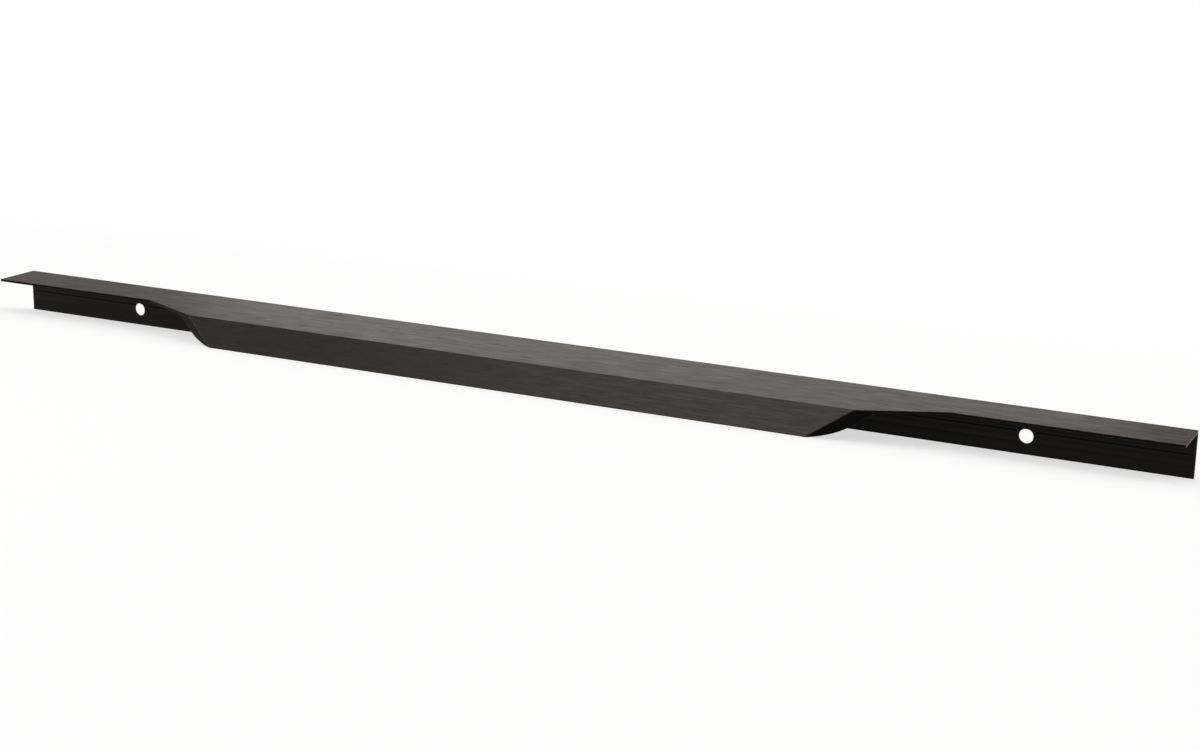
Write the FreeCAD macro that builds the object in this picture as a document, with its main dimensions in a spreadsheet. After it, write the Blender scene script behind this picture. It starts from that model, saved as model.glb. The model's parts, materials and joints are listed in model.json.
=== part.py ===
import FreeCAD, Part
import math
import os
import Sketcher

# Handleless finger pull: one length of extruded aluminium, milled back at both ends, in millimetres.
# On a door the plate lies along the top edge of the door and the rear flange is screwed to its back.
# The sloping lip reaches out over the front of the door, with room for the fingers behind it.
# Body frame, as fitted on the door: X along the length, Y towards the back, Z up,
# with the origin at the middle of the rear top edge of the plate.
# The body's placement then leans it forward, as it rests by itself on a level floor.

# name, value, meaning
DRIVING_SIZES = [
    ("overall_length", 500.0, "length of the whole profile"),
    ("plate_wall", 1.0, "thickness of the plate"),
    ("flange_wall", 1.0, "thickness of the rear flange"),
    ("flange_height", 17.0, "from the top of the plate to the foot of the flange"),
    ("plate_depth", 34.6, "from the back to where the plate turns down into the lip"),
    ("ledge_depth", 20.65, "depth that is left of the plate beside the grip"),
    ("face_angle", 55.0, "slope of the front face of the lip below the horizontal"),
    ("lip_drop", 10.25, "from the top of the plate to the tip of the lip"),
    ("lip_thickness", 3.1, "thickness of the lip square to its front face"),
    ("lip_belly_radius", 9.4, "rounding of the inner side of the lip towards its tip"),
    ("lip_root_radius", 3.0, "hollow rounding where the lip meets the plate"),
    ("inside_radius", 0.3, "hollow rounding between plate and flange"),
    ("edge_radius", 0.2, "rounding of the long outer edges"),
    ("groove_drop", 8.5, "from the top of the plate to the marking groove in the flange"),
    ("groove_width", 0.7, "width of the marking groove"),
    ("groove_depth", 0.2, "depth of the marking groove"),
    ("grip_length", 341.0, "length of the grip where its tapered ends start"),
    ("taper_angle", 25.0, "angle between a tapered end of the grip and the length"),
    ("cutter_radius", 5.0, "rounding that the milling cutter leaves beside the grip"),
    ("hole_pitch", 384.0, "distance between the two screw holes"),
    ("hole_drop", 10.4, "from the top of the plate to the centre of a screw hole"),
    ("hole_diameter", 5.2, "diameter of a screw hole"),
    ("cut_overrun", 2.0, "how far a cut runs on past the profile"),
]

# name, formula, meaning
DERIVED_SIZES = [
    ("belly_offset", "=lip_belly_radius - lip_thickness", "from the centre of the belly to the front face"),
    ("tip_run", "=lip_drop / sin(face_angle) - sqrt(lip_belly_radius ^ 2 - belly_offset ^ 2)"
     " + sqrt((lip_belly_radius - edge_radius) ^ 2 - (belly_offset + edge_radius) ^ 2)",
     "along the front face, from its top to beside the centre of the rounded tip"),
    ("tip_y", "=edge_radius * sin(face_angle) - plate_depth - tip_run * cos(face_angle)",
     "centre of the rounded tip"),
    ("tip_z", "=-tip_run * sin(face_angle) - edge_radius * cos(face_angle)", "centre of the rounded tip"),
    ("foot_y", "=edge_radius - flange_wall", "centre of the rounded front edge of the foot"),
    ("foot_z", "=edge_radius - flange_height", "centre of the rounded front edge of the foot"),
    ("rest_tilt", "=atan((tip_z - foot_z) / (foot_y - tip_y))",
     "lean that brings tip and foot to one level"),
    ("rest_height", "=edge_radius - foot_y * sin(rest_tilt) - foot_z * cos(rest_tilt)",
     "lift that brings both onto the floor"),
    ("back_reach", "=edge_radius - edge_radius * cos(rest_tilt) - foot_z * sin(rest_tilt)",
     "rearmost point of the leaning profile"),
    ("front_reach", "=tip_y * cos(rest_tilt) - tip_z * sin(rest_tilt) - edge_radius",
     "foremost point of the leaning profile"),
]


def make_sheet(doc):
    sheet = doc.addObject("Spreadsheet::Sheet", "Sizes")
    for row, (name, value, meaning) in enumerate(DRIVING_SIZES + DERIVED_SIZES, start=1):
        sheet.set(f"A{row}", meaning)
        sheet.set(f"B{row}", str(value))
        sheet.setAlias(f"B{row}", name)
    doc.recompute()
    return sheet


def plane_of(body, role):
    for feature in body.Origin.OriginFeatures:
        if feature.Role == role:
            return feature
    raise ValueError("no plane called " + role)


def new_sketch(body, name, role):
    sketch = body.newObject("Sketcher::SketchObject", name)
    sketch.AttachmentSupport = [(plane_of(body, role), "")]
    sketch.MapMode = "FlatFace"
    return sketch


def size_constraint(sketch, name, formula, kind, *members):
    """adds a dimension with its present value and ties it to the sheet"""
    index = sketch.addConstraint(Sketcher.Constraint(kind, *members))
    sketch.renameConstraint(index, name)
    sketch.setExpression("Constraints." + name, formula)


def section_points(sheet):
    """corners of the section as (y, z), from the rear top edge round the front to the foot and back"""
    slope = math.radians(float(sheet.face_angle))
    along = (-math.cos(slope), -math.sin(slope))
    inward = (math.sin(slope), -math.cos(slope))
    face_run = sheet.lip_drop / math.sin(slope)
    belly_run = math.sqrt(sheet.lip_belly_radius ** 2 - sheet.belly_offset ** 2)

    def beside_face(run, depth):
        return (-sheet.plate_depth + run * along[0] + depth * inward[0], run * along[1] + depth * inward[1])

    root_run = (sheet.plate_wall + sheet.lip_thickness * inward[1]) / math.sin(slope)
    half_groove = sheet.groove_width / 2
    return {
        "rear": (0.0, 0.0),
        "front": beside_face(0.0, 0.0),
        "tip": beside_face(face_run, 0.0),
        "belly_centre": beside_face(face_run - belly_run, -sheet.belly_offset),
        "belly_end": beside_face(face_run - belly_run, sheet.lip_thickness),
        "root": beside_face(root_run, sheet.lip_thickness),
        "inside": (-sheet.flange_wall, -sheet.plate_wall),
        "groove_top": (-sheet.flange_wall, half_groove - sheet.groove_drop),
        "groove_bottom": (sheet.groove_depth - sheet.flange_wall, -sheet.groove_drop),
        "groove_foot": (-sheet.flange_wall, -half_groove - sheet.groove_drop),
        "foot_front": (-sheet.flange_wall, -sheet.flange_height),
        "foot_rear": (0.0, -sheet.flange_height),
    }


def draw_section(sketch, sheet):
    """draws the outline with sharp corners, as a closed chain of edges 0 to 10"""
    at = {name: FreeCAD.Vector(y, z, 0) for name, (y, z) in section_points(sheet).items()}

    def line(start, end):
        return sketch.addGeometry(Part.LineSegment(at[start], at[end]), False)

    top = line("rear", "front")
    face = line("front", "tip")
    centre = at["belly_centre"]
    start_angle = math.atan2(at["tip"].y - centre.y, at["tip"].x - centre.x)
    end_angle = math.atan2(at["belly_end"].y - centre.y, at["belly_end"].x - centre.x)
    circle = Part.Circle(centre, FreeCAD.Vector(0, 0, 1), float(sheet.lip_belly_radius))
    belly = sketch.addGeometry(Part.ArcOfCircle(circle, start_angle, end_angle), False)
    inner = line("belly_end", "root")
    under = line("root", "inside")
    flange_upper = line("inside", "groove_top")
    groove_in = line("groove_top", "groove_bottom")
    groove_out = line("groove_bottom", "groove_foot")
    flange_lower = line("groove_foot", "foot_front")
    foot = line("foot_front", "foot_rear")
    back = line("foot_rear", "rear")

    sketch.addConstraint(Sketcher.Constraint("Coincident", top, 1, -1, 1))
    chain = [top, face, belly, inner, under, flange_upper, groove_in, groove_out, flange_lower, foot, back]
    for this, following in zip(chain, chain[1:] + chain[:1]):
        joint = "Tangent" if this == belly else "Coincident"
        sketch.addConstraint(Sketcher.Constraint(joint, this, 2, following, 1))
    for edge in (top, under, foot):
        sketch.addConstraint(Sketcher.Constraint("Horizontal", edge))
    for edge in (flange_upper, flange_lower, back):
        sketch.addConstraint(Sketcher.Constraint("Vertical", edge))
    sketch.addConstraint(Sketcher.Constraint("Parallel", face, inner))
    sketch.addConstraint(Sketcher.Constraint("Vertical", groove_in, 1, groove_out, 2))
    sketch.addConstraint(Sketcher.Constraint("Equal", groove_in, groove_out))

    corner = math.radians(180 - sheet.face_angle)
    size_constraint(sketch, "plate_depth", "Sizes.plate_depth",
                    "DistanceX", top, 2, top, 1, sheet.plate_depth)
    size_constraint(sketch, "front_corner", "180 - Sizes.face_angle",
                    "Angle", face, 1, top, 2, corner)
    size_constraint(sketch, "lip_drop", "Sizes.lip_drop",
                    "DistanceY", face, 2, -1, 1, sheet.lip_drop)
    size_constraint(sketch, "belly_radius", "Sizes.lip_belly_radius",
                    "Radius", belly, sheet.lip_belly_radius)
    size_constraint(sketch, "lip_thickness", "Sizes.lip_thickness",
                    "Distance", inner, 2, face, sheet.lip_thickness)
    size_constraint(sketch, "plate_wall", "Sizes.plate_wall",
                    "DistanceY", under, 2, -1, 1, sheet.plate_wall)
    size_constraint(sketch, "flange_wall", "Sizes.flange_wall",
                    "DistanceX", under, 2, -1, 1, sheet.flange_wall)
    size_constraint(sketch, "groove_drop", "Sizes.groove_drop",
                    "DistanceY", groove_in, 2, -1, 1, sheet.groove_drop)
    size_constraint(sketch, "groove_width", "Sizes.groove_width",
                    "DistanceY", groove_out, 2, groove_in, 1, sheet.groove_width)
    size_constraint(sketch, "groove_depth", "Sizes.groove_depth",
                    "DistanceX", groove_in, 1, groove_in, 2, sheet.groove_depth)
    size_constraint(sketch, "flange_height", "Sizes.flange_height",
                    "DistanceY", foot, 2, -1, 1, sheet.flange_height)


def extrude_section(body, sheet):
    sketch = new_sketch(body, "Section", "YZ_Plane")
    draw_section(sketch, sheet)
    pad = body.newObject("PartDesign::Pad", "Extrusion")
    pad.Profile = sketch
    pad.SideType = "Symmetric"
    pad.setExpression("Length", "Sizes.overall_length")
    return pad


def long_edge(shape, point):
    """name of the edge that runs along X through the given (y, z)"""
    for number, edge in enumerate(shape.Edges, start=1):
        first, last = edge.Vertexes[0].Point, edge.Vertexes[-1].Point
        straight = abs(first.y - last.y) + abs(first.z - last.z) < 1e-6
        if straight and math.hypot(first.y - point[0], first.z - point[1]) < 1e-4:
            return f"Edge{number}"
    raise ValueError("no long edge there")


def round_long_edges(doc, body, base, name, points, formula):
    doc.recompute()
    fillet = body.newObject("PartDesign::Fillet", name)
    fillet.Base = (base, [long_edge(base.Shape, point) for point in points])
    fillet.setExpression("Radius", formula)
    return fillet


def mill_end(body, sheet):
    """cuts the front away beside one end of the grip, with the cutter standing upright"""
    sketch = new_sketch(body, "EndCut", "XY_Plane")
    half_grip = sheet.grip_length / 2
    far_x = sheet.overall_length / 2 + sheet.cut_overrun
    far_y = sheet.tip_y - sheet.edge_radius - sheet.cut_overrun
    taper_x = half_grip + (far_y + sheet.ledge_depth) / math.tan(math.radians(float(sheet.taper_angle)))
    ledge_y = -sheet.ledge_depth
    corners = [(half_grip, ledge_y), (far_x, ledge_y), (far_x, far_y), (taper_x, far_y)]
    points = [FreeCAD.Vector(x, y, 0) for x, y in corners]
    ledge, end, front, taper = (
        sketch.addGeometry(Part.LineSegment(start, stop), False)
        for start, stop in zip(points, points[1:] + points[:1])
    )
    for this, following in ((ledge, end), (end, front), (front, taper), (taper, ledge)):
        sketch.addConstraint(Sketcher.Constraint("Coincident", this, 2, following, 1))
    for edge in (ledge, front):
        sketch.addConstraint(Sketcher.Constraint("Horizontal", edge))
    sketch.addConstraint(Sketcher.Constraint("Vertical", end))
    opening = math.radians(180 - sheet.taper_angle)
    size_constraint(sketch, "half_grip", "Sizes.grip_length / 2",
                    "DistanceX", -1, 1, ledge, 1, half_grip)
    size_constraint(sketch, "ledge_depth", "Sizes.ledge_depth",
                    "DistanceY", ledge, 1, -1, 1, sheet.ledge_depth)
    size_constraint(sketch, "past_end", "Sizes.overall_length / 2 + Sizes.cut_overrun",
                    "DistanceX", -1, 1, end, 1, far_x)
    size_constraint(sketch, "past_front", "Sizes.cut_overrun + Sizes.edge_radius - Sizes.tip_y",
                    "DistanceY", front, 1, -1, 1, -far_y)
    size_constraint(sketch, "opening", "180 - Sizes.taper_angle",
                    "Angle", taper, 2, ledge, 1, opening)
    pocket = body.newObject("PartDesign::Pocket", "EndPocket")
    pocket.Profile = sketch
    pocket.Type = "ThroughAll"
    return pocket


def drill_flange(doc, body, sheet):
    """drills one screw hole through the flange, from its back"""
    sketch = new_sketch(body, "ScrewHoleCentre", "XZ_Plane")
    half_pitch = sheet.hole_pitch / 2
    centre = FreeCAD.Vector(half_pitch, -sheet.hole_drop, 0)
    outline = Part.Circle(centre, FreeCAD.Vector(0, 0, 1), sheet.hole_diameter / 2)
    circle = sketch.addGeometry(outline, False)
    size_constraint(sketch, "half_pitch", "Sizes.hole_pitch / 2",
                    "DistanceX", -1, 1, circle, 3, half_pitch)
    size_constraint(sketch, "hole_drop", "Sizes.hole_drop",
                    "DistanceY", circle, 3, -1, 1, sheet.hole_drop)
    size_constraint(sketch, "hole_diameter", "Sizes.hole_diameter",
                    "Diameter", circle, sheet.hole_diameter)
    doc.recompute()
    hole = body.newObject("PartDesign::Hole", "ScrewHole")
    hole.Profile = sketch
    hole.DepthType = "Dimension"
    hole.DrillPoint = "Flat"
    hole.Reversed = True
    hole.setExpression("Diameter", "Sizes.hole_diameter")
    hole.setExpression("Depth", "Sizes.flange_wall + Sizes.cut_overrun")
    return hole


def mirror_end(body, features):
    """repeats the cut and the screw hole at the other end"""
    mirrored = body.newObject("PartDesign::Mirrored", "OtherEnd")
    mirrored.Originals = features
    mirrored.MirrorPlane = (plane_of(body, "YZ_Plane"), [""])
    body.Tip = mirrored
    return mirrored


def cutter_edges(shape, sheet):
    """names of the short upright edges in the corners beside the grip"""
    found = []
    for number, edge in enumerate(shape.Edges, start=1):
        first, last = edge.Vertexes[0].Point, edge.Vertexes[-1].Point
        upright = math.hypot(first.x - last.x, first.y - last.y) < 1e-6
        off_corner = math.hypot(abs(first.x) - sheet.grip_length / 2, first.y + sheet.ledge_depth)
        if upright and off_corner < 1e-4:
            found.append(f"Edge{number}")
    return found


def round_cutter_corners(doc, body, base, sheet):
    doc.recompute()
    fillet = body.newObject("PartDesign::Fillet", "CutterCorners")
    fillet.Base = (base, cutter_edges(base.Shape, sheet))
    fillet.setExpression("Radius", "Sizes.cutter_radius")
    return fillet


def lean_to_rest(body, sheet):
    """leans the profile forward until its foot and its tip stand on the floor, centred over the origin"""
    rotation = FreeCAD.Rotation(FreeCAD.Vector(1, 0, 0), float(sheet.rest_tilt))
    body.Placement = FreeCAD.Placement(FreeCAD.Vector(0, 0, 0), rotation)
    body.setExpression("Placement.Rotation.Angle", "Sizes.rest_tilt")
    body.setExpression("Placement.Base.y", "-(Sizes.back_reach + Sizes.front_reach) / 2")
    body.setExpression("Placement.Base.z", "Sizes.rest_height")


def make_profile(doc, sheet):
    body = doc.addObject("PartDesign::Body", "FingerPullProfile")
    body.Label = "finger_pull_profile"
    points = section_points(sheet)
    root, inside = [points["root"]], [points["inside"]]
    outer = [points[name] for name in ("rear", "front", "tip", "foot_front", "foot_rear")]
    feature = extrude_section(body, sheet)
    feature = round_long_edges(doc, body, feature, "LipRoot", root, "Sizes.lip_root_radius")
    feature = round_long_edges(doc, body, feature, "InsideCorner", inside, "Sizes.inside_radius")
    feature = round_long_edges(doc, body, feature, "OuterEdges", outer, "Sizes.edge_radius")
    end_cut = mill_end(body, sheet)
    hole = drill_flange(doc, body, sheet)
    feature = mirror_end(body, [end_cut, hole])
    round_cutter_corners(doc, body, feature, sheet)
    lean_to_rest(body, sheet)
    return body


def check_objects(doc, bodies):
    for item in doc.Objects:
        if "Invalid" in item.State or "Error" in item.State:
            raise RuntimeError(item.Name + " could not be worked out: " + ", ".join(item.State))
    for body in bodies:
        if body.Shape.isNull() or not body.Shape.isValid():
            raise RuntimeError(body.Label + " has no valid shape")
        if len(body.Shape.Solids) != 1:
            raise RuntimeError(body.Label + " is not one solid")


def main():
    doc = FreeCAD.newDocument("finger_pull")
    sheet = make_sheet(doc)
    bodies = [make_profile(doc, sheet)]
    doc.recompute()
    check_objects(doc, bodies)
    os.makedirs("parts", exist_ok=True)
    for body in bodies:
        body.Shape.exportStep(f"parts/{body.Label}.step")
        box = body.Shape.BoundBox
        print(f"{body.Label}: {box.XLength:.2f} x {box.YLength:.2f} x {box.ZLength:.2f} mm,"
              f" volume {body.Shape.Volume:.1f} mm3")


main()
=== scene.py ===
import bpy
import json
from math import atan2, cos, degrees, hypot, radians, sin, sqrt, tan
from mathutils import Matrix, Vector


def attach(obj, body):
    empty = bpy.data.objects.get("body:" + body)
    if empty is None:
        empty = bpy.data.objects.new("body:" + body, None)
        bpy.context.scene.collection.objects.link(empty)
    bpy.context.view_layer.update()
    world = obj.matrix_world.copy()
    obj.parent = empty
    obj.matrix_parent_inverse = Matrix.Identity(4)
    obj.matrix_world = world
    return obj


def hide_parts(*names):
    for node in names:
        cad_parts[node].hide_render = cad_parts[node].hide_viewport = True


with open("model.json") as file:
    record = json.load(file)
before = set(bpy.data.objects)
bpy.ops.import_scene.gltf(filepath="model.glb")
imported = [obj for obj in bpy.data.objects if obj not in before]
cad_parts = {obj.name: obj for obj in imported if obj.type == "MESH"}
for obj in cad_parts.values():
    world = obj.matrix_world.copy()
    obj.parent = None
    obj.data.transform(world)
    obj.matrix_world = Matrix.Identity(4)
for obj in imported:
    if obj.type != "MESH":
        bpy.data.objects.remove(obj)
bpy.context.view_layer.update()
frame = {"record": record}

mm = 0.001


def hexColour(code):
    # sRGB hex to the linear values that the shaders want
    channels = [int(code[i:i + 2], 16) / 255 for i in (1, 3, 5)]
    return [c / 12.92 if c <= 0.04045 else ((c + 0.055) / 1.055) ** 2.4 for c in channels] + [1.0]


def addNode(tree, kind, settings=None, inputs=None):
    # an input is either another node's socket, which is linked, or a plain value
    node = tree.nodes.new(kind)
    for name, value in (settings or {}).items():
        setattr(node, name, value)
    for name, value in (inputs or {}).items():
        if isinstance(value, bpy.types.NodeSocket):
            tree.links.new(value, node.inputs[name])
        else:
            node.inputs[name].default_value = value
    return node


# Profile, sizes in millimetres and degrees

profile = {
    "length": 500.0,
    "plateWall": 1.0,
    "plateDepth": 34.6,        # back edge to where the plate turns down
    "flangeWall": 1.0,
    "flangeHeight": 17.0,
    "faceAngle": 55.0,         # slope of the front face below level
    "lipDrop": 10.25,
    "lipThickness": 3.1,
    "bellyRadius": 9.4,        # inner side of the lip, towards its tip
    "rootRadius": 3.0,
    "insideRadius": 0.3,
    "edgeRadius": 0.2,
    "grooveDrop": 8.5,         # drilling line in the flange
    "grooveWidth": 0.7,
    "grooveDepth": 0.2,
    "ledgeDepth": 20.65,       # plate left beside the grip
    "gripLength": 341.0,
    "taperAngle": 25.0,
    "cutterRadius": 5.0,
    "holePitch": 384.0,
    "holeDrop": 10.4,
    "holeDiameter": 5.2,
    "seatBack": 10.0,          # the door seat's middle, ahead of the back edge
    "overrun": 2.0,            # how far the cutters run out past the metal
    "brokenEdge": 0.15,        # burr taken off along the milled edges
    "burrAngle": 35.0,         # a milled edge that turns less than this has no burr
    "smoothAngle": 25.0,       # facets that turn less than this shade as one curve
    "weldGap": 0.001,          # points nearer than this are one
    "edgeFacets": 6,           # straight facets that stand for each rounded edge
    "shoulderFacets": 5,       # where the plate turns down into the front face
    "tipFacets": 10,
    "bellyFacets": 14,
    "rootFacets": 14,
    "cutterFacets": 16,
    "holeFacets": 64,
    "brokenEdgeFacets": 2,
}


# The profile is drawn as it sits on its door: X along it, Y to the back, Z up, from the middle
# of the rear top edge. Loose on a floor it leans forward onto foot and lip tip. How far, and
# where it then lies, comes from the record's seat under the plate, which rests on the door.

def restPlace():
    seat = next(mount for mount in frame["record"]["mounts"] if mount["name"] == "door_top_seat")
    outward, place = Vector(seat["axis"]), Vector(seat["pos_m"])
    turned = Matrix.Rotation(atan2(outward.y, -outward.z), 4, "X")
    seatOnProfile = Vector((0, -profile["seatBack"], -profile["plateWall"])) * mm
    return Matrix.Translation(place - turned @ seatOnProfile) @ turned


rest = restPlace()
lean = rest.to_euler().x


def arcPoints(centre, radius, startAngle, endAngle, steps):
    turns = [startAngle + (endAngle - startAngle) * i / steps for i in range(steps + 1)]
    return [(centre[0] + radius * cos(turn), centre[1] + radius * sin(turn)) for turn in turns]


def roundedCorner(before, corner, after, radius, steps):
    # the arc that touches both sides of a corner, from the first side to the second
    corner = Vector(corner)
    toBefore = (Vector(before) - corner).normalized()
    toAfter = (Vector(after) - corner).normalized()
    half = toBefore.angle(toAfter) / 2
    centre = corner + (toBefore + toAfter).normalized() * (radius / sin(half))
    start = corner + toBefore * (radius / tan(half)) - centre
    end = corner + toAfter * (radius / tan(half)) - centre
    sweep = -start.angle_signed(end)
    startAngle = atan2(start.y, start.x)
    return arcPoints(centre, radius, startAngle, startAngle + sweep, steps)


def sectionOutline():
    # round the section from the rear top edge over the front, as (y, z): first the run that the
    # brushing belt reaches, down to the tip of the lip, then the inner run back to the foot
    p = profile
    slope = radians(p["faceAngle"])

    def onLip(run, depth):
        # run down the front face from its top, depth into the metal
        back = depth * sin(slope) - run * cos(slope)
        return (back - p["plateDepth"], -run * sin(slope) - depth * cos(slope))

    # on the lip: the belly's centre lies outside the metal, and the rounded tip touches
    # both the front face and the belly
    faceRun = p["lipDrop"] / sin(slope)
    bellyOffset = p["bellyRadius"] - p["lipThickness"]
    bellyRun = faceRun - sqrt(p["bellyRadius"] ** 2 - bellyOffset ** 2)
    tipReach = p["bellyRadius"] - p["edgeRadius"]
    tipDepth = bellyOffset + p["edgeRadius"]
    tipRun = bellyRun + sqrt(tipReach ** 2 - tipDepth ** 2)
    tipTurn = atan2(tipDepth, tipRun - bellyRun)
    tipCentre, bellyCentre = (tipRun, p["edgeRadius"]), (bellyRun, -bellyOffset)
    tip = arcPoints(tipCentre, p["edgeRadius"], radians(-90), tipTurn, p["tipFacets"])
    belly = arcPoints(bellyCentre, p["bellyRadius"], tipTurn, radians(90), p["bellyFacets"])

    # corners between the straight runs, before they are rounded
    rear, front = (0.0, 0.0), (-p["plateDepth"], 0.0)
    faceEnd = onLip(faceRun, 0)
    bellyEnd = onLip(bellyRun, p["lipThickness"])
    rootRun = (p["plateWall"] - p["lipThickness"] * cos(slope)) / sin(slope)
    root = onLip(rootRun, p["lipThickness"])
    inside = (-p["flangeWall"], -p["plateWall"])
    footFront = (-p["flangeWall"], -p["flangeHeight"])
    footRear = (0.0, -p["flangeHeight"])
    halfGroove = p["grooveWidth"] / 2
    groove = [
        (-p["flangeWall"], halfGroove - p["grooveDrop"]),
        (p["grooveDepth"] - p["flangeWall"], -p["grooveDrop"]),
        (-p["flangeWall"], -halfGroove - p["grooveDrop"]),
    ]
    outer = (
        roundedCorner(footRear, rear, front, p["edgeRadius"], p["edgeFacets"])
        + roundedCorner(rear, front, faceEnd, p["edgeRadius"], p["shoulderFacets"])
        + [onLip(*point) for point in tip]
    )
    inner = (
        [onLip(*point) for point in belly[1:]]
        + roundedCorner(bellyEnd, root, inside, p["rootRadius"], p["rootFacets"])
        + roundedCorner(root, inside, footFront, p["insideRadius"], p["edgeFacets"])
        + groove
        + roundedCorner(inside, footFront, footRear, p["edgeRadius"], p["edgeFacets"])
        + roundedCorner(footFront, footRear, rear, p["edgeRadius"], p["edgeFacets"])
    )
    return outer, inner


def sectionMesh(firstFinish):
    # one face at the left end, looking along +X, whose points know the way round the section
    # and whether the belt reaches them
    outer, inner = sectionOutline()
    outline = outer + inner
    left = -profile["length"] / 2
    mesh = bpy.data.meshes.new("profileSection")
    mesh.from_pydata([(left * mm, y * mm, z * mm) for y, z in outline], [], [range(len(outline))])
    mesh.materials.append(firstFinish)
    girth = mesh.attributes.new("girth", "FLOAT", "POINT")
    belted = mesh.attributes.new("belted", "FLOAT", "POINT")
    walked = 0.0
    for i, (y, z) in enumerate(outline):
        if i:
            walked += hypot(y - outline[i - 1][0], z - outline[i - 1][1])
        girth.data[i].value = walked * mm
        belted.data[i].value = float(i < len(outer))
    return mesh


def closedExtrusion(tree, flat, direction, distance):
    # the start face is left open by the extrusion, so it is turned over and welded in;
    # both ends are noted as milled
    grown = addNode(tree, "GeometryNodeExtrudeMesh", {"mode": "FACES"}, {
        "Mesh": flat, "Offset": direction, "Offset Scale": distance, "Individual": False})
    start = addNode(tree, "GeometryNodeFlipFaces", {}, {"Mesh": flat})
    both = addNode(tree, "GeometryNodeJoinGeometry")
    for half, end in ((grown, grown.outputs["Top"]), (start, True)):
        ended = addNode(tree, "GeometryNodeStoreNamedAttribute", {
            "data_type": "FLOAT", "domain": "FACE"}, {
            "Geometry": half.outputs[0], "Selection": end, "Name": "milled", "Value": 1.0})
        tree.links.new(ended.outputs[0], both.inputs[0])
    return addNode(tree, "GeometryNodeMergeByDistance", {}, {
        "Geometry": both.outputs[0], "Distance": profile["weldGap"] * mm}).outputs[0]


def barStock(tree, given, noted):
    # the extruded bar, with a map whose U runs along it, which the brushed finish takes its
    # direction from
    bar = closedExtrusion(tree, given["Section"], (1.0, 0.0, 0.0), given["Length"])
    place = addNode(tree, "GeometryNodeInputPosition").outputs[0]
    along = addNode(tree, "ShaderNodeSeparateXYZ", {}, {0: place}).outputs[0]
    alongAndRound = addNode(tree, "ShaderNodeCombineXYZ", {}, {
        0: along, 1: noted["girth"]}).outputs[0]
    mapped = addNode(tree, "GeometryNodeStoreNamedAttribute", {
        "data_type": "FLOAT2", "domain": "CORNER"}, {
        "Geometry": bar, "Name": "stockMap", "Value": alongAndRound}).outputs[0]

    # a face has the average of its corners, and is brushed if the belt reaches nearly all of it
    nearlyAll = 0.9
    underBelt = addNode(tree, "ShaderNodeMath", {"operation": "GREATER_THAN"}, {
        0: noted["belted"], 1: nearlyAll}).outputs[0]
    return addNode(tree, "GeometryNodeStoreNamedAttribute", {
        "data_type": "FLOAT", "domain": "FACE"}, {
        "Geometry": mapped, "Name": "brushed", "Value": underBelt}).outputs[0]


def endPockets(tree, given):
    # what the cutter takes away at each end, drawn from above and mirrored, with the cutter's
    # own radius left beside the grip
    path = addNode(tree, "GeometryNodeCurvePrimitiveQuadrilateral", {"mode": "POINTS"}, {
        "Point 1": given["Grip Corner"],
        "Point 2": given["Taper End"],
        "Point 3": given["Front Corner"],
        "Point 4": given["Ledge Corner"],
    }).outputs[0]
    pointNumber = addNode(tree, "GeometryNodeInputIndex").outputs[0]
    atGrip = addNode(tree, "FunctionNodeCompare", {"data_type": "INT", "operation": "EQUAL"}, {
        2: pointNumber, 3: 0}).outputs[0]
    gripRadius = addNode(tree, "ShaderNodeMath", {"operation": "MULTIPLY"}, {
        0: atGrip, 1: given["Cutter Radius"]}).outputs[0]
    filleted = addNode(tree, "GeometryNodeFilletCurve", {"mode": "POLY"}, {
        "Curve": path, "Count": profile["cutterFacets"], "Radius": gripRadius,
        "Limit Radius": False}).outputs[0]
    flat = addNode(tree, "GeometryNodeFillCurve", {"mode": "NGONS"}, {"Curve": filleted}).outputs[0]
    lowered = addNode(tree, "GeometryNodeTransform", {}, {
        "Geometry": flat, "Translation": given["Pocket Floor"]}).outputs[0]
    pocket = closedExtrusion(tree, lowered, (0.0, 0.0, 1.0), given["Pocket Height"])
    mirrored = addNode(tree, "GeometryNodeTransform", {}, {
        "Geometry": pocket, "Scale": (-1.0, 1.0, 1.0)}).outputs[0]
    otherPocket = addNode(tree, "GeometryNodeFlipFaces", {}, {"Mesh": mirrored}).outputs[0]
    return pocket, otherPocket


def screwDrills(tree, given):
    # both screw holes go through the flange from behind
    spots = addNode(tree, "GeometryNodeMeshLine", {"mode": "OFFSET"}, {
        "Count": 2, "Start Location": given["First Hole"], "Offset": given["Hole Step"]}).outputs[0]
    drill = addNode(tree, "GeometryNodeMeshCylinder", {}, {
        "Vertices": profile["holeFacets"], "Radius": given["Hole Radius"],
        "Depth": given["Drill Length"]}).outputs[0]
    placed = addNode(tree, "GeometryNodeInstanceOnPoints", {}, {
        "Points": spots, "Instance": drill, "Rotation": (radians(90), 0.0, 0.0)}).outputs[0]
    return addNode(tree, "GeometryNodeRealizeInstances", {}, {0: placed}).outputs[0]


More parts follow.
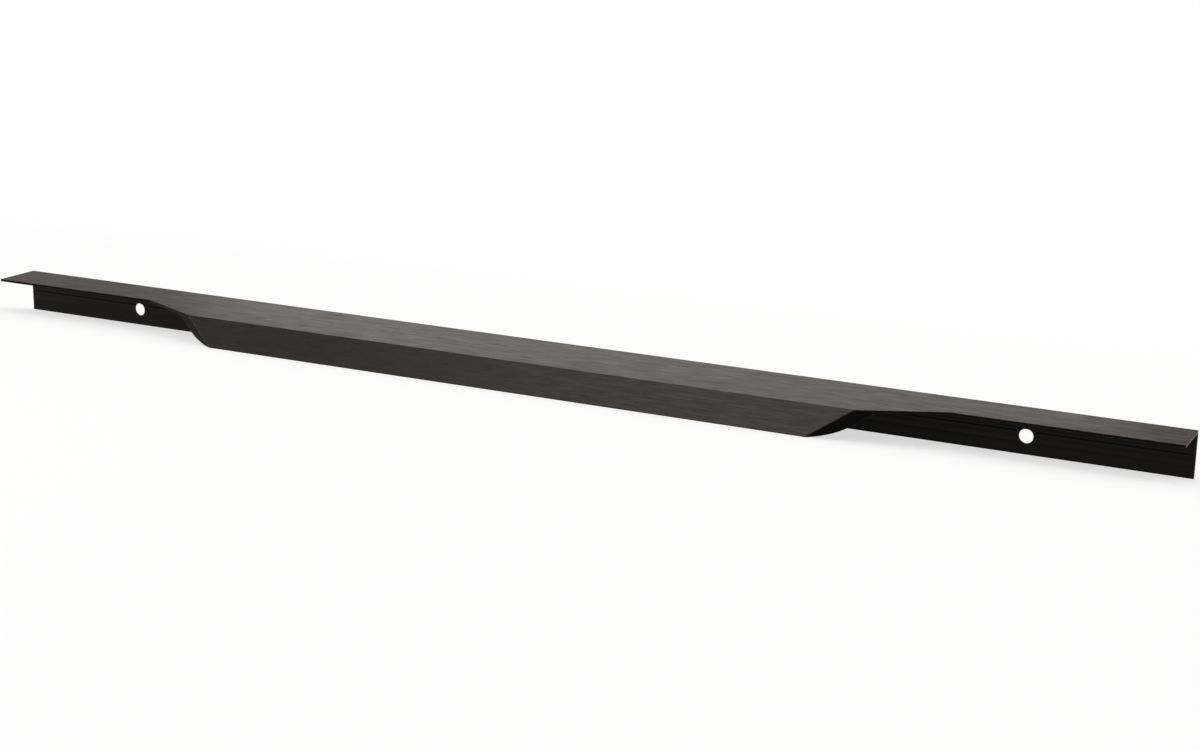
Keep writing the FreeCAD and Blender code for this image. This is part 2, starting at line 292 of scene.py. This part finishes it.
def profileTree(extruded, brushed, milled):
    # extrude the section, mill both ends, drill the flange, lay it down
    tree = bpy.data.node_groups.new("extrudedPull", "GeometryNodeTree")
    sockets = tree.interface
    sockets.new_socket("Section", in_out="INPUT", socket_type="NodeSocketGeometry")
    for name in ("Length", "Pocket Height", "Cutter Radius", "Hole Radius", "Drill Length"):
        sockets.new_socket(name, in_out="INPUT", socket_type="NodeSocketFloat")
    for name in ("Pocket Floor", "Grip Corner", "Taper End", "Front Corner", "Ledge Corner",
                 "First Hole", "Hole Step", "Lean", "Place"):
        sockets.new_socket(name, in_out="INPUT", socket_type="NodeSocketVector")
    sockets.new_socket("Profile", in_out="OUTPUT", socket_type="NodeSocketGeometry")
    given = addNode(tree, "NodeGroupInput").outputs
    noted = {}
    for name in ("girth", "belted", "brushed", "milled"):
        noted[name] = addNode(tree, "GeometryNodeInputNamedAttribute", {"data_type": "FLOAT"}, {
            "Name": name}).outputs[0]

    tools = addNode(tree, "GeometryNodeJoinGeometry")
    for tool in (*endPockets(tree, given), screwDrills(tree, given)):
        tree.links.new(tool, tools.inputs[0])
    cutters = addNode(tree, "GeometryNodeStoreNamedAttribute", {
        "data_type": "FLOAT", "domain": "FACE"}, {
        "Geometry": tools.outputs[0], "Name": "milled", "Value": 1.0}).outputs[0]
    cut = addNode(tree, "GeometryNodeMeshBoolean", {"operation": "DIFFERENCE", "solver": "EXACT"}, {
        "Mesh 1": barStock(tree, given, noted), "Mesh 2": cutters}).outputs[0]

    # an edge has the average of its two faces; a sharp one with a milled face on at least one
    # side gets its burr taken off later, by a bevel that reads this weight
    nearlyHalf = 0.4
    besideMilled = addNode(tree, "ShaderNodeMath", {"operation": "GREATER_THAN"}, {
        0: noted["milled"], 1: nearlyHalf}).outputs[0]
    turn = addNode(tree, "GeometryNodeInputMeshEdgeAngle").outputs[0]
    sharp = addNode(tree, "ShaderNodeMath", {"operation": "GREATER_THAN"}, {
        0: turn, 1: radians(profile["burrAngle"])}).outputs[0]
    weight = addNode(tree, "ShaderNodeMath", {"operation": "MULTIPLY"}, {
        0: besideMilled, 1: sharp}).outputs[0]
    weighted = addNode(tree, "GeometryNodeStoreNamedAttribute", {
        "data_type": "FLOAT", "domain": "EDGE"}, {
        "Geometry": cut, "Name": "bevel_weight_edge", "Value": weight}).outputs[0]

    laid = addNode(tree, "GeometryNodeTransform", {}, {
        "Geometry": weighted, "Translation": given["Place"], "Rotation": given["Lean"]}).outputs[0]
    real = addNode(tree, "GeometryNodeRealizeInstances", {}, {0: laid}).outputs[0]
    coated = addNode(tree, "GeometryNodeSetMaterial", {}, {
        "Geometry": real, "Material": extruded}).outputs[0]
    for finish, where in ((brushed, noted["brushed"]), (milled, noted["milled"])):
        coated = addNode(tree, "GeometryNodeSetMaterial", {}, {
            "Geometry": coated, "Selection": where, "Material": finish}).outputs[0]
    addNode(tree, "NodeGroupOutput", {}, {"Profile": coated})
    return tree


def profileSizes():
    # the tree's inputs, in metres; the pockets run out past the lip, the end and the foot
    p = profile
    outer = sectionOutline()[0]
    frontY = min(y for y, z in outer) - p["overrun"]
    ledgeY = -p["ledgeDepth"]
    gripX = p["gripLength"] / 2
    taperX = gripX - (ledgeY - frontY) / tan(radians(p["taperAngle"]))
    endX = p["length"] / 2 + p["overrun"]
    pocketDepth = p["flangeHeight"] + p["overrun"]
    return {
        "Length": p["length"] * mm,
        "Pocket Height": 2 * pocketDepth * mm,
        "Cutter Radius": p["cutterRadius"] * mm,
        "Hole Radius": p["holeDiameter"] / 2 * mm,
        "Drill Length": 2 * p["overrun"] * mm,
        "Pocket Floor": Vector((0, 0, -pocketDepth)) * mm,
        "Grip Corner": Vector((gripX, ledgeY, 0)) * mm,
        "Taper End": Vector((taperX, frontY, 0)) * mm,
        "Front Corner": Vector((endX, frontY, 0)) * mm,
        "Ledge Corner": Vector((endX, ledgeY, 0)) * mm,
        "First Hole": Vector((-p["holePitch"] / 2, 0, -p["holeDrop"])) * mm,
        "Hole Step": Vector((p["holePitch"], 0, 0)) * mm,
        "Lean": Vector((lean, 0, 0)),
        "Place": rest.to_translation(),
    }


def makeProfile(extruded, brushed, milled, brokenEdge):
    piece = bpy.data.objects.new("fingerPull", sectionMesh(extruded))
    bpy.context.scene.collection.objects.link(piece)
    tree = profileTree(extruded, brushed, milled)
    shaper = piece.modifiers.new("Extrude and mill", "NODES")
    shaper.node_group = tree
    sizes = profileSizes()
    for item in tree.interface.items_tree:
        if item.name in sizes:
            shaper[item.identifier] = sizes[item.name]

    evaluated = piece.evaluated_get(bpy.context.evaluated_depsgraph_get())
    mesh = bpy.data.meshes.new_from_object(evaluated)
    piece.modifiers.clear()
    piece.data = mesh
    mesh.name = "fingerPull"
    mesh.shade_smooth()

    # the bevel faces take the lighter edge colour, partly a thinner coat and partly a painted
    # highlight along the milled edges
    mesh.materials.append(brokenEdge)
    burr = piece.modifiers.new("Broken edge", "BEVEL")
    burr.material = len(mesh.materials) - 1
    burr.limit_method = "WEIGHT"
    burr.width = profile["brokenEdge"] * mm
    burr.segments = profile["brokenEdgeFacets"]
    burr.use_clamp_overlap = False
    burr.harden_normals = True
    flats = piece.modifiers.new("Flat faces stay flat", "WEIGHTED_NORMAL")
    flats.keep_sharp = True
    mesh.set_sharp_from_angle(angle=radians(profile["smoothAngle"]))

    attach(piece, "root")
    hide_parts("finger_pull_profile")
    return piece


# Finishes
# Sizes of patterns are in millimetres. The noise behind each pattern keeps near 0.5, so only the
# middle of its range is used, from one end of "contrast" to the other.

def startMaterial(name):
    # an empty material, and the tree that its nodes go into
    material = bpy.data.materials.new(name)
    material.use_nodes = True
    material.node_tree.nodes.clear()
    return material, material.node_tree


def lengthwise(tree, size, detail, shift=0.0, fineness=0.55):
    # noise stretched along the stock, which lies along X; size is how far it runs along and across
    along, across = size
    place = addNode(tree, "ShaderNodeTexCoord").outputs["Object"]
    scaled = addNode(tree, "ShaderNodeMapping", {}, {
        "Vector": place, "Location": (shift, 0, 0),
        "Scale": (1 / (along * mm), 1 / (across * mm), 1 / (across * mm))}).outputs[0]
    return addNode(tree, "ShaderNodeTexNoise", {}, {
        "Vector": scaled, "Scale": 1.0, "Detail": detail, "Roughness": fineness}).outputs["Fac"]


brushedFinish = {
    "colour": "#2d2a28",
    "darkStreak": "#262321",
    "edgeTint": "#d6d3d1",      # what is left of the reflection at a glancing look
    "roughness": 0.36,
    "unevenness": 0.06,         # how far the roughness swings either way from band to band
    "drawnOut": 0.5,            # how far the sheen is drawn out
    "drawnAcross": 0.25,        # quarter turn, so that it is drawn out across the hairlines
    "hairlines": (5.0, 0.18),
    "hairlineDetail": 3.0,
    "hairlineDepth": 0.009,
    "bands": (11.0, 0.65),      # broader bands where the belt pressed more
    "bandDetail": 2.0,
    "bandShift": 3.7,           # keeps the bands from following the hairlines
    "contrast": (0.35, 0.65),
}


def brushedAnodised():
    # Extruded aluminium, brushed along its length with a belt, then anodised black:
    # a dark warm grey metal with fine lengthwise hairlines, whose soft sheen is drawn out across
    # them and comes and goes a little in broader bands.
    # Real hairlines are 0.05 mm wide, and are drawn coarser so that they show.
    f = brushedFinish
    material, tree = startMaterial("brushedBlackAnodisedAluminium")
    least, most = f["contrast"]
    hairlines = lengthwise(tree, f["hairlines"], f["hairlineDetail"])
    bands = lengthwise(tree, f["bands"], f["bandDetail"], f["bandShift"])
    darker = addNode(tree, "ShaderNodeMapRange", {}, {
        "Value": hairlines, "From Min": least, "From Max": most}).outputs[0]
    colour = addNode(tree, "ShaderNodeMix", {"data_type": "RGBA"}, {
        0: darker, 6: hexColour(f["colour"]), 7: hexColour(f["darkStreak"])}).outputs[2]
    rough = addNode(tree, "ShaderNodeMapRange", {}, {
        "Value": bands, "From Min": least, "From Max": most,
        "To Min": f["roughness"] - f["unevenness"],
        "To Max": f["roughness"] + f["unevenness"]}).outputs[0]
    bump = addNode(tree, "ShaderNodeBump", {}, {
        "Height": hairlines, "Distance": f["hairlineDepth"] * mm, "Strength": 1.0}).outputs[0]
    direction = addNode(tree, "ShaderNodeTangent", {
        "direction_type": "UV_MAP", "uv_map": "stockMap"}).outputs[0]
    shader = addNode(tree, "ShaderNodeBsdfPrincipled", {}, {
        "Base Color": colour, "Metallic": 1.0, "Roughness": rough, "Normal": bump,
        "Specular Tint": hexColour(f["edgeTint"]), "Tangent": direction,
        "Anisotropic": f["drawnOut"], "Anisotropic Rotation": f["drawnAcross"]}).outputs[0]
    addNode(tree, "ShaderNodeOutputMaterial", {}, {"Surface": shader})
    return material


extrudedFinish = {
    # darker than the brushed colour: partly the unbrushed surface, partly painted shade of the flange
    # under the ledge
    "colour": "#181716",
    "paleLine": "#1e1d1c",
    "edgeTint": "#b8b6b4",
    "roughness": 0.52,
    "unevenness": 0.05,         # pale lines are that much smoother, dark ones that much rougher
    "dieLines": (260.0, 0.7),
    "lineDetail": 3.0,
    "lineDepth": 0.002,
    "lineShift": 1.3,
    "contrast": (0.35, 0.65),
}


def extrudedAnodised():
    # Aluminium left as it came out of the die and anodised black, on the inner side and the back:
    # duller than the brushed side, with faint lines that run the whole length. Its darker colour is
    # partly the unbrushed surface and partly painted shade, for the flange that lies in shade under
    # the ledge.
    # Real die lines are about 0.1 mm apart, and are drawn coarser so that they show.
    f = extrudedFinish
    material, tree = startMaterial("extrudedBlackAnodisedAluminium")
    least, most = f["contrast"]
    dieLines = lengthwise(tree, f["dieLines"], f["lineDetail"], f["lineShift"])
    lines = addNode(tree, "ShaderNodeMapRange", {}, {
        "Value": dieLines, "From Min": least, "From Max": most}).outputs[0]
    colour = addNode(tree, "ShaderNodeMix", {"data_type": "RGBA"}, {
        0: lines, 6: hexColour(f["colour"]), 7: hexColour(f["paleLine"])}).outputs[2]
    rough = addNode(tree, "ShaderNodeMapRange", {}, {
        "Value": lines, "To Min": f["roughness"] + f["unevenness"],
        "To Max": f["roughness"] - f["unevenness"]}).outputs[0]
    bump = addNode(tree, "ShaderNodeBump", {}, {
        "Height": lines, "Distance": f["lineDepth"] * mm, "Strength": 1.0}).outputs[0]
    shader = addNode(tree, "ShaderNodeBsdfPrincipled", {}, {
        "Base Color": colour, "Metallic": 1.0, "Roughness": rough,
        "Specular Tint": hexColour(f["edgeTint"]), "Normal": bump}).outputs[0]
    addNode(tree, "ShaderNodeOutputMaterial", {}, {"Surface": shader})
    return material


milledFinish = {
    # near black: partly the milled surface, partly painted shade of the cut faces
    "colour": "#0e0d0d",
    "edgeTint": "#dcdad8",
    "roughness": 0.33,
    "unevenness": 0.06,
    "marks": (0.7, 6.0),        # across and along a cutter mark
    "markDetail": 2.0,
    "markDepth": 0.006,
    "fineness": 0.5,
    "contrast": (0.3, 0.7),
}


def milledAnodised():
    # Aluminium milled or drilled after it was extruded, then anodised black, at the ends and in
    # the holes: near black looked at straight on, pale and glossier at a slant, with no
    # hairlines, only faint upright cutter marks. The near-black colour is partly painted shade, for
    # the cut faces that mirror the shaded floor beside the part.
    # Real marks are about 0.1 mm apart, and are drawn coarser so that they show.
    f = milledFinish
    material, tree = startMaterial("milledBlackAnodisedAluminium")
    least, most = f["contrast"]
    across, along = f["marks"]
    place = addNode(tree, "ShaderNodeTexCoord").outputs["Object"]
    turned = addNode(tree, "ShaderNodeMapping", {"vector_type": "TEXTURE"}, {
        "Vector": place, "Rotation": (lean, 0, 0),
        "Scale": (across * mm, across * mm, along * mm)}).outputs[0]
    marks = addNode(tree, "ShaderNodeTexNoise", {}, {
        "Vector": turned, "Scale": 1.0, "Detail": f["markDetail"],
        "Roughness": f["fineness"]}).outputs["Fac"]
    rough = addNode(tree, "ShaderNodeMapRange", {}, {
        "Value": marks, "From Min": least, "From Max": most,
        "To Min": f["roughness"] - f["unevenness"],
        "To Max": f["roughness"] + f["unevenness"]}).outputs[0]
    bump = addNode(tree, "ShaderNodeBump", {}, {
        "Height": marks, "Distance": f["markDepth"] * mm, "Strength": 1.0}).outputs[0]
    shader = addNode(tree, "ShaderNodeBsdfPrincipled", {}, {
        "Base Color": hexColour(f["colour"]), "Metallic": 1.0, "Roughness": rough,
        "Specular Tint": hexColour(f["edgeTint"]), "Normal": bump}).outputs[0]
    addNode(tree, "ShaderNodeOutputMaterial", {}, {"Surface": shader})
    return material


edgeFinish = {
    # lighter than the faces beside it: partly a thinner coat, partly a painted highlight along the
    # edges
    "thinCoatAndGlint": "#2e2c2a",
    "thickCoat": "#1c1b1a",
    "edgeTint": "#d6d3d1",
    "roughness": 0.42,
    "patches": 2.5,             # from one lighter spot to the next
    "patchDetail": 2.0,
    "contrast": (0.3, 0.55),
}


def brokenEdgeAnodised():
    # Aluminium whose burr was rubbed off before it was anodised black, along the milled edges:
    # each is a slightly lighter line, patchy along its length, partly a thinner coat and partly a
    # painted highlight for the glint these edges catch.
    f = edgeFinish
    material, tree = startMaterial("thinAnodisedEdgeWithPaintedGlint")
    least, most = f["contrast"]
    place = addNode(tree, "ShaderNodeTexCoord").outputs["Object"]
    patches = addNode(tree, "ShaderNodeTexNoise", {}, {
        "Vector": place, "Scale": 1 / (f["patches"] * mm), "Detail": f["patchDetail"]}).outputs["Fac"]
    thinAndGlinting = addNode(tree, "ShaderNodeMapRange", {}, {
        "Value": patches, "From Min": least, "From Max": most}).outputs[0]
    colour = addNode(tree, "ShaderNodeMix", {"data_type": "RGBA"}, {
        0: thinAndGlinting, 6: hexColour(f["thickCoat"]), 7: hexColour(f["thinCoatAndGlint"])}).outputs[2]
    shader = addNode(tree, "ShaderNodeBsdfPrincipled", {}, {
        "Base Color": colour, "Metallic": 1.0, "Roughness": f["roughness"],
        "Specular Tint": hexColour(f["edgeTint"])}).outputs[0]
    addNode(tree, "ShaderNodeOutputMaterial", {}, {"Surface": shader})
    return material


# Camera, placed as seen from the profile on its door

viewpoint = {
    "place": (370.97, -699.58, 192.64),   # millimetres
    "turn": 26.234,                       # degrees to the left of straight on
    "dip": 14.601,                        # degrees below level
    "roll": 1.058,
    "focalPixels": 2113.87,               # focal length in pixels of a picture 1200 wide
    "pictureWidth": 1200,
    "sensorWidth": 36.0,                  # millimetres
    "nearest": 10.0,                      # millimetres, nothing closer than this shows
}


def makeCamera():
    v = viewpoint
    data = bpy.data.cameras.new("photoView")
    data.sensor_width = v["sensorWidth"]
    data.lens = v["focalPixels"] * v["sensorWidth"] / v["pictureWidth"]
    data.clip_start = v["nearest"] * mm
    camera = bpy.data.objects.new("photoView", data)
    bpy.context.scene.collection.objects.link(camera)
    turned = Matrix.Rotation(radians(v["turn"]), 4, "Z")
    dipped = Matrix.Rotation(radians(90 - v["dip"]), 4, "X")
    rolled = Matrix.Rotation(radians(v["roll"]), 4, "Z")
    stand = Matrix.Translation(Vector(v["place"]) * mm)
    camera.matrix_world = rest @ stand @ turned @ dipped @ rolled
    bpy.context.scene.camera = camera
    return camera


# Studio, sizes in metres

studio = {
    "floorColour": "#fbfaf9",
    "floorRadius": 1.2,
    "floorFacets": 72,
    "floorFade": (0.25, 1.08),  # where the floor starts to run out into the white, and is gone
    "floorGlow": 0.65,          # share of the floor that shows as plain white
    "ambient": 0.56,            # what the white surroundings add to plain surfaces
    "lamps": {
        # name: place, aimed at, width and height, watts
        "keyLamp": ((-0.30, -0.85, 0.80), (0.0, 0.0, 0.0), (0.6, 0.6), 3.2),
        "fillLamp": ((-1.05, -0.95, 0.09), (-0.2, 0.0, 0.0), (0.8, 0.16), 8.0),
        "backLamp": ((-0.39, 0.95, 0.45), (0.0, 0.0, 0.0), (0.85, 0.4), 1.5),
        "topLamp": ((0.1, -0.05, 1.2), (0.0, 0.0, 0.0), (1.0, 0.35), 2.5),
        "sideLamp": ((0.75, 0.75, 0.75), (0.0, 0.0, 0.0), (0.6, 0.4), 2.5),
    },
}


def raySeen(tree):
    # 1 for what the camera sees, straight or in metal and glass, and 0 for light on plain surfaces
    ray = addNode(tree, "ShaderNodeLightPath").outputs
    mirrored = addNode(tree, "ShaderNodeMath", {"operation": "MAXIMUM"}, {
        0: ray["Is Glossy Ray"], 1: ray["Is Transmission Ray"]}).outputs[0]
    return addNode(tree, "ShaderNodeMath", {"operation": "MAXIMUM"}, {
        0: ray["Is Camera Ray"], 1: mirrored}).outputs[0]


def makeFloor():
    # matte white paint, which keeps the shadow and thins out into the white all round
    s = studio
    mesh = bpy.data.meshes.new("studioFloor")
    rim = arcPoints((0, 0), s["floorRadius"], 0, radians(360), s["floorFacets"])[1:]
    mesh.from_pydata([(x, y, 0) for x, y in rim], [], [range(len(rim))])
    floor = bpy.data.objects.new("studioFloor", mesh)
    bpy.context.scene.collection.objects.link(floor)

    material, tree = startMaterial("paleMattePaintedFloor")
    place = addNode(tree, "ShaderNodeTexCoord").outputs["Object"]
    away = addNode(tree, "ShaderNodeVectorMath", {"operation": "LENGTH"}, {0: place}).outputs["Value"]
    fadeStart, fadeEnd = s["floorFade"]
    fade = addNode(tree, "ShaderNodeMapRange", {"interpolation_type": "SMOOTHSTEP"}, {
        "Value": away, "From Min": fadeStart, "From Max": fadeEnd}).outputs[0]
    paint = addNode(tree, "ShaderNodeBsdfDiffuse", {}, {
        "Color": hexColour(s["floorColour"])}).outputs[0]
    white = addNode(tree, "ShaderNodeEmission", {}, {"Color": hexColour("#ffffff")}).outputs[0]
    glow = addNode(tree, "ShaderNodeMath", {"operation": "MULTIPLY"}, {
        0: raySeen(tree), 1: s["floorGlow"]}).outputs[0]
    lit = addNode(tree, "ShaderNodeMixShader", {}, {0: glow, 1: paint, 2: white}).outputs[0]
    clear = addNode(tree, "ShaderNodeBsdfTransparent").outputs[0]
    mixed = addNode(tree, "ShaderNodeMixShader", {}, {0: fade, 1: lit, 2: clear}).outputs[0]
    addNode(tree, "ShaderNodeOutputMaterial", {}, {"Surface": mixed})
    mesh.materials.append(material)


def makeLamps():
    for name, (place, target, (width, height), watts) in studio["lamps"].items():
        data = bpy.data.lights.new(name, "AREA")
        data.shape = "RECTANGLE"
        data.size, data.size_y = width, height
        data.energy = watts
        lamp = bpy.data.objects.new(name, data)
        lamp.location = place
        lamp.rotation_euler = (Vector(target) - Vector(place)).to_track_quat("-Z", "Y").to_euler()
        bpy.context.scene.collection.objects.link(lamp)


def makeSurroundings():
    # white to the eye and in reflections, weaker as light on plain surfaces
    world = bpy.data.worlds.new("whiteStudio")
    bpy.context.scene.world = world
    world.use_nodes = True
    tree = world.node_tree
    tree.nodes.clear()
    strength = addNode(tree, "ShaderNodeMapRange", {}, {
        "Value": raySeen(tree), "To Min": studio["ambient"], "To Max": 1.0}).outputs[0]
    white = addNode(tree, "ShaderNodeBackground", {}, {
        "Color": hexColour("#ffffff"), "Strength": strength}).outputs[0]
    addNode(tree, "ShaderNodeOutputWorld", {}, {"Surface": white})


finishes = extrudedAnodised(), brushedAnodised(), milledAnodised(), brokenEdgeAnodised()
print("finishes made")
pull = makeProfile(*finishes)
print("profile made:", len(pull.data.polygons), "faces, leaning", round(degrees(lean), 3), "degrees")
camera = makeCamera()
print("camera placed, lens", round(camera.data.lens, 2), "mm")
makeFloor()
makeLamps()
makeSurroundings()
bpy.context.scene.view_settings.view_transform = "Standard"
print("studio set")
